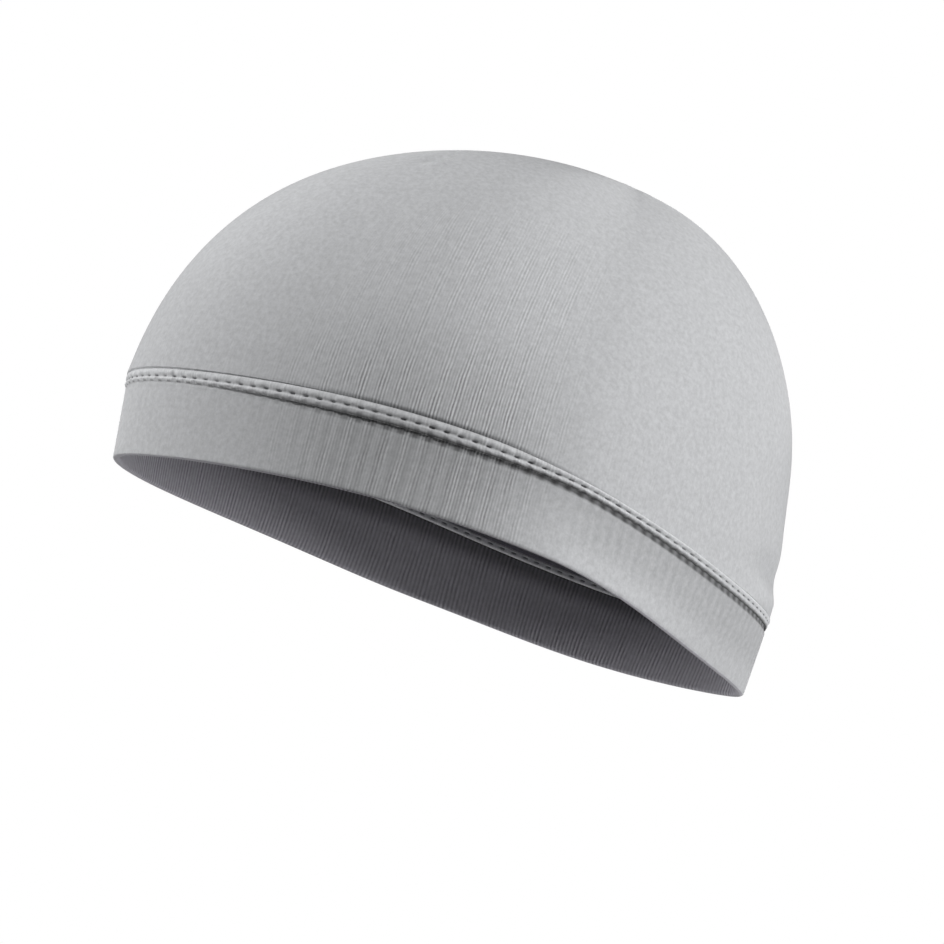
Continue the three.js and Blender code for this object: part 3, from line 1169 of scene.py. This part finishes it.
class CAP_OT_stage(bpy.types.Operator):
    """Make the floor, the lights and the camera"""

    bl_idname = "cap.stage"
    bl_label = "Studio"

    def execute(self, context):
        stage = context.scene.skull_cap_stage
        bpy.ops.object.select_all(action="DESELECT")
        bpy.ops.mesh.primitive_plane_add(size=FLOOR_SIZE, location=(0, 0, stage.floor_height))
        floor = context.object
        floor.name = "studio_floor"
        bpy.ops.object.transform_apply(location=True)
        floor.data.materials.append(studio_paper())
        a, e, roll = stage.azimuth, stage.elevation, stage.roll
        back = Vector((math.sin(a) * math.cos(e), -math.cos(a) * math.cos(e), math.sin(e)))
        level = Vector((math.cos(a), math.sin(a), 0))
        up = back.cross(level)
        right = level * math.cos(roll) + up * math.sin(roll)
        top = up * math.cos(roll) - level * math.sin(roll)
        for name, (turn, rise, side, power) in LIGHTS.items():
            t, r = math.radians(turn), math.radians(rise)
            towards = right * math.sin(t) + back * math.cos(t)
            away = towards * math.cos(r) + top * math.sin(r)
            data = bpy.data.lights.new(name, "AREA")
            data.shape = "SQUARE"
            data.size = side
            data.energy = power
            lamp = bpy.data.objects.new(name, data)
            lamp.location = Vector(LIGHT_CENTRE) + away * LIGHT_DISTANCE
            lamp.rotation_mode = "QUATERNION"
            lamp.rotation_quaternion = away.to_track_quat("Z", "Y")
            context.scene.collection.objects.link(lamp)
        data = bpy.data.cameras.new("camera")
        data.sensor_width = SENSOR_WIDTH
        data.lens = stage.lens
        data.clip_start, data.clip_end = 0.05, 50
        camera = bpy.data.objects.new("camera", data)
        place = Vector(stage.target) + back * stage.distance
        axes = Matrix((right, top, back)).transposed().to_4x4()
        camera.matrix_world = Matrix.Translation(place) @ axes
        context.scene.collection.objects.link(camera)
        context.scene.camera = camera
        context.scene.view_settings.view_transform = "Standard"
        self.light_the_room(context.scene)
        return {"FINISHED"}

    def light_the_room(self, scene):
        """A white surround where the camera sees past the cap, and a dim one for the light in it."""
        world = bpy.data.worlds.new("studio")
        world.use_nodes = True
        tree = world.node_tree
        tree.nodes.clear()
        ray = add_node(tree, "ShaderNodeLightPath", {})
        white = add_node(tree, "ShaderNodeBackground", {"Color": (1, 1, 1, 1), "Strength": 1.0})
        dim = add_node(
            tree, "ShaderNodeBackground", {"Color": (1, 1, 1, 1), "Strength": SURROUND_LIGHT}
        )
        seen = add_node(
            tree,
            "ShaderNodeMixShader",
            {},
            {0: ray.outputs["Is Camera Ray"], 1: dim.outputs[0], 2: white.outputs[0]},
        )
        add_node(tree, "ShaderNodeOutputWorld", {}, {"Surface": seen.outputs[0]})
        scene.world = world


class CAP_PT_panel(bpy.types.Panel):
    """Lists the cap's operators and settings"""

    bl_label = "Skull Cap"
    bl_idname = "CAP_PT_panel"
    bl_space_type = "VIEW_3D"
    bl_region_type = "UI"
    bl_category = "Skull Cap"

    def draw(self, context):
        for group in (context.scene.skull_cap, context.scene.skull_cap_stage):
            box = self.layout.box()
            for name in group.__annotations__:
                box.prop(group, name)
        for operator in OPERATORS:
            self.layout.operator(operator.bl_idname)


OPERATORS = (CAP_OT_crown, CAP_OT_band, CAP_OT_welt, CAP_OT_stitches, CAP_OT_stage)
CLASSES = (SkullCapSettings, SkullCapStage, *OPERATORS, CAP_PT_panel)


def register():
    for made in CLASSES:
        bpy.utils.register_class(made)
    bpy.types.Scene.skull_cap = PointerProperty(type=SkullCapSettings)
    bpy.types.Scene.skull_cap_stage = PointerProperty(type=SkullCapStage)


def unregister():
    del bpy.types.Scene.skull_cap_stage
    del bpy.types.Scene.skull_cap
    for made in reversed(CLASSES):
        bpy.utils.unregister_class(made)


def main():
    register()
    bpy.ops.cap.crown()
    bpy.ops.cap.band()
    bpy.ops.cap.welt()
    bpy.ops.cap.stitches()
    bpy.ops.cap.stage()


if __name__ == "__main__":
    main()
